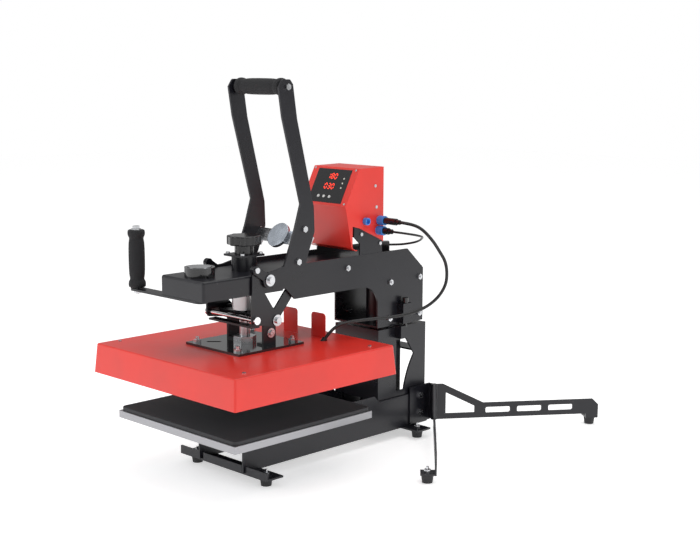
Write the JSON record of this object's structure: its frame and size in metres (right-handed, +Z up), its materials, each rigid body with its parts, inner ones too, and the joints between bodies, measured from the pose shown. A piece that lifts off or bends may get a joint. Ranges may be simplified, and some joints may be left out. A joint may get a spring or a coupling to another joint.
{
  "type": "heat press",
  "caption": "Swing-away lever heat press: a heated platen on a toggle lever and swinging head closes on a padded aluminium table, with controller, swing grip and rear brace.",
  "frame": {"origin": "on the bench, under the middle of the whole press", "axes": "+Z up, -Y to the operator, +X to the operator's right"},
  "size_m": [0.5858, 1.0675, 0.825],
  "materials": {
    "black_paint": "semi-gloss powder coat",
    "red_paint": "satin powder coat",
    "black_gloss": "gloss",
    "bright_zinc": "bright zinc",
    "chrome": "polished",
    "turned_steel": "turned",
    "aluminium": "milled",
    "black_rubber": "matt",
    "foam": "closed-cell foam",
    "black_plastic": "gloss",
    "blue_plastic": "satin",
    "dark_screen": "gloss",
    "lamp_lens": "clear",
    "key_cap": "satin",
    "board_green": "lacquer",
    "wool": "ceramic wool",
    "mica": "mica sheet"
  },
  "bodies": {
    "base": {"base_frame": "black_paint", "foot_bars": "black_paint", "column_sides": "black_paint", "column_plates": "black_paint", "rubber_feet": "black_rubber", "foot_bolts": "bright_zinc", "lower_platen": "aluminium", "silicone_pad": "black_rubber", "pivot_shaft": "turned_steel", "lock_catch": "black_paint", "rear_brace": "black_paint"},
    "head": {"cheeks": "black_paint", "beam": "black_paint", "head_plates": "black_paint", "swing_sleeve": "black_paint", "guide_bush": "turned_steel", "guide_tube": "black_paint", "magnet_body": "black_gloss", "magnet_core": "turned_steel", "swing_handle_bar": "black_paint", "swing_grip": "foam", "fulcrum_bolts": "bright_zinc", "head_bolts": "bright_zinc", "lock_housing": "black_paint", "controller_shell": "red_paint", "display_panel": "dark_screen", "status_lamps": "lamp_lens", "circuit_board": "board_green", "controller_brackets": "black_paint", "controller_screws": "bright_zinc", "power_sockets": "blue_plastic", "plug_nuts": "blue_plastic", "plug_bodies": "black_plastic", "heater_lead": "black_rubber", "magnet_lead": "black_rubber"},
    "lock_plunger": {"lock_plunger": "black_plastic"},
    "key_left": {"key_left": "key_cap"},
    "key_middle": {"key_middle": "key_cap"},
    "key_right": {"key_right": "key_cap"},
    "pressure_knob": {"pressure_knob": "black_plastic"},
    "lever": {"lever_arms": "black_paint", "lever_cross_bars": "black_gloss", "lever_grip": "foam", "armature_bracket": "bright_zinc", "armature_disc": "turned_steel", "lever_bolts": "bright_zinc"},
    "links": {"link_plates": "black_paint", "link_rod": "chrome"},
    "platen": {"platen_cover": "red_paint", "hot_plate": "aluminium", "heating_element": "mica", "insulation": "wool", "platen_fasteners": "bright_zinc", "mounting_plate": "black_gloss", "press_spindle": "turned_steel", "platen_posts": "black_paint", "guide_struts": "black_paint", "link_pins": "bright_zinc", "cover_tabs": "red_paint", "lead_gland": "black_plastic"}
  },
  "joints": [
    {"name": "head_swing", "type": "hinge", "parent": "base", "child": "head", "pos_m": [-0.0629, 0.1032, 0.3], "axis": [0, 0, 1], "range_deg": [0, 90]},
    {"name": "lever_pull", "type": "hinge", "parent": "head", "child": "lever", "pos_m": [-0.0629, -0.3118, 0.417], "axis": [1, 0, 0], "range_deg": [0, 124], "stiffness_Nm_per_rad": 5, "springref_deg": -68.75},
    {"name": "platen_press", "type": "slide", "parent": "head", "child": "platen", "axis": [0, 0, -1], "range_m": [0, 0.0675]},
    {"name": "link_swing", "type": "hinge", "parent": "platen", "child": "links", "pos_m": [-0.0629, -0.2878, 0.33], "axis": [1, 0, 0], "range_deg": [-15.5, 0]},
    {"name": "knob_turn", "type": "hinge", "parent": "head", "child": "pressure_knob", "pos_m": [-0.0629, -0.3118, 0.483], "axis": [0, 0, 1], "continuous": true},
    {"name": "lock_pull", "type": "slide", "parent": "head", "child": "lock_plunger", "axis": [0, 0, 1], "range_m": [0, 0.016], "stiffness_N_per_m": 400, "springref_m": -0.004},
    {"name": "key_left_press", "type": "slide", "parent": "head", "child": "key_left", "axis": [0, 0.8854, -0.4648], "range_m": [0, 0.001], "stiffness_N_per_m": 600, "springref_m": -0.0003},
    {"name": "key_middle_press", "type": "slide", "parent": "head", "child": "key_middle", "axis": [0, 0.8854, -0.4648], "range_m": [0, 0.001], "stiffness_N_per_m": 600, "springref_m": -0.0003},
    {"name": "key_right_press", "type": "slide", "parent": "head", "child": "key_right", "axis": [0, 0.8854, -0.4648], "range_m": [0, 0.001], "stiffness_N_per_m": 600, "springref_m": -0.0003}
  ],
  "couplings": [
    {"joint": "platen_press", "follows": "lever_pull", "m_per_rad": 0.031188},
    {"joint": "link_swing", "follows": "lever_pull", "ratio": -0.1249}
  ]
}
